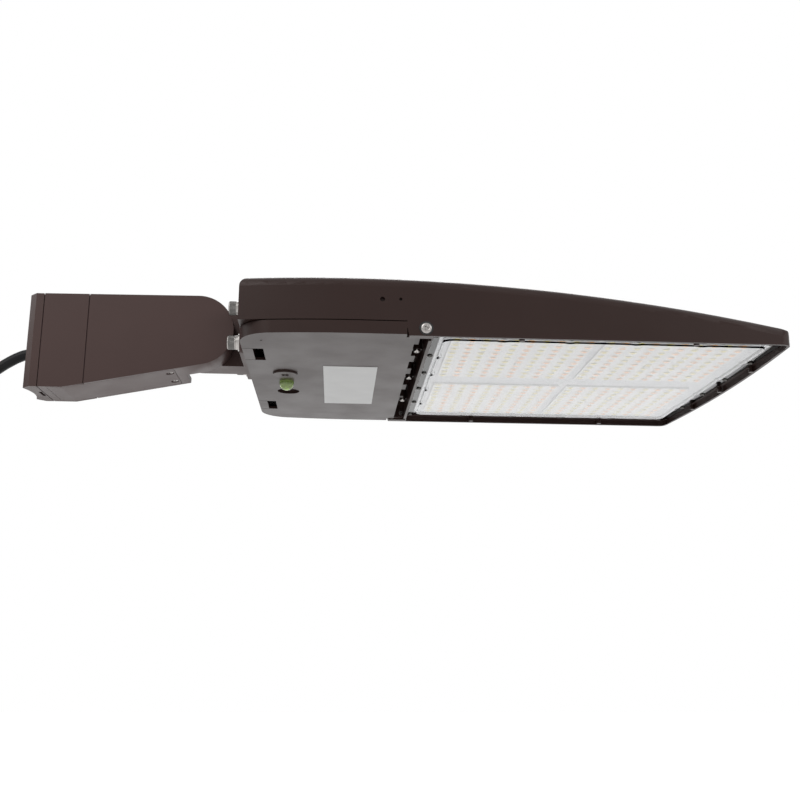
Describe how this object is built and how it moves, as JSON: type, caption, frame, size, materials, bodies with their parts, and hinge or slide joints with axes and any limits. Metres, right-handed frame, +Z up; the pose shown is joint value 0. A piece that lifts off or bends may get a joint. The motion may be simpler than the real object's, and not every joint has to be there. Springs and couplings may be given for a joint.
{
  "type": "shoebox area light",
  "caption": "Flat outdoor LED area light head with a hinged driver door on a tilting pole-mount arm, for lighting car parks and yards.",
  "frame": {"origin": "where the pole touches the plate's saddle, midway between the two pole bolt holes", "axes": "+X from the pole to the tip of the head, +Y to the left seen from the pole, +Z up"},
  "size_m": [0.7588, 0.3346, 0.2415],
  "materials": {
    "head_paint": "dark bronze powder coat over die-cast aluminium, fine orange-peel texture, satin",
    "arm_paint": "dark bronze powder coat over cast aluminium, fine texture, satin",
    "stainless": "plain stainless steel, turned and lightly brushed",
    "dark_screws": "blackened steel",
    "driver_case": "plain extruded aluminium, satin",
    "surge_case": "moulded plastic, red",
    "terminal_plastic": "moulded nylon, cream",
    "lead_sleeve": "silicone sleeve, black",
    "reflector_white": "white painted sheet",
    "led_board": "white solder mask with small pale yellow and pale orange chips",
    "lens_clear": "clear polycarbonate, smooth, slightly prismatic over each chip",
    "lens_seal": "grey silicone foam",
    "black_rubber": "moulded black rubber",
    "door_seal": "grey silicone cord",
    "level_glass": "clear acrylic dome over yellow-green liquid",
    "label_white": "blank white vinyl label",
    "cord_jacket": "black rubber cord jacket, matt",
    "tie_nylon": "black nylon tie",
    "conductor_sleeve": "insulated conductor ends"
  },
  "bodies": {
    "arm": {"pole_plate": "arm_paint", "arm_base": "arm_paint", "arm_body": "arm_paint", "arm_screws": "dark_screws", "tilt_bolt": "stainless", "tilt_washer": "stainless", "cord_grommet": "black_rubber", "arm_leads": "lead_sleeve", "arm_cover": "arm_paint", "cover_screws": "stainless", "cord_lead": "cord_jacket", "cord_coil": "cord_jacket", "cord_conductors": "conductor_sleeve", "cord_tie": "tie_nylon"},
    "head": {"tilt_neck": "arm_paint", "flange_bolts": "stainless", "spring_washers": "stainless", "flat_washers": "stainless", "flange_gasket": "black_rubber", "housing": "head_paint", "hinge_screws": "stainless", "driver": "driver_case", "driver_screws": "dark_screws", "surge_protector": "surge_case", "terminal_block": "terminal_plastic", "driver_leads": "lead_sleeve", "reflector_sheet": "reflector_white", "led_board_1": "led_board", "led_board_2": "led_board", "led_board_3": "led_board", "led_board_4": "led_board", "board_screws": "stainless", "lens": "lens_clear", "lens_gasket": "lens_seal", "lens_screws": "dark_screws", "gap_screws": "stainless", "head_bushing": "black_rubber", "head_leads": "lead_sleeve"},
    "door": {"driver_door": "head_paint", "door_gasket": "door_seal", "bubble_level": "level_glass", "level_clip": "dark_screws", "label_plate": "label_white"},
    "latch": {"captive_screw": "head_paint", "screw_clip": "stainless"}
  },
  "joints": [
    {"name": "head_tilt", "type": "hinge", "parent": "arm", "child": "head", "pos_m": [0.153, 0, 0.013], "axis": [0, -1, 0], "range_deg": [-45, 90]},
    {"name": "door_open", "type": "hinge", "parent": "head", "child": "door", "pos_m": [0.3554, 0, -0.0226], "axis": [0, -1, 0], "range_deg": [0, 90]},
    {"name": "latch_turn", "type": "hinge", "parent": "door", "child": "latch", "pos_m": [0.236, -0.033, -0.028], "axis": [0, 0, 1], "range_deg": [0, 90]}
  ]
}
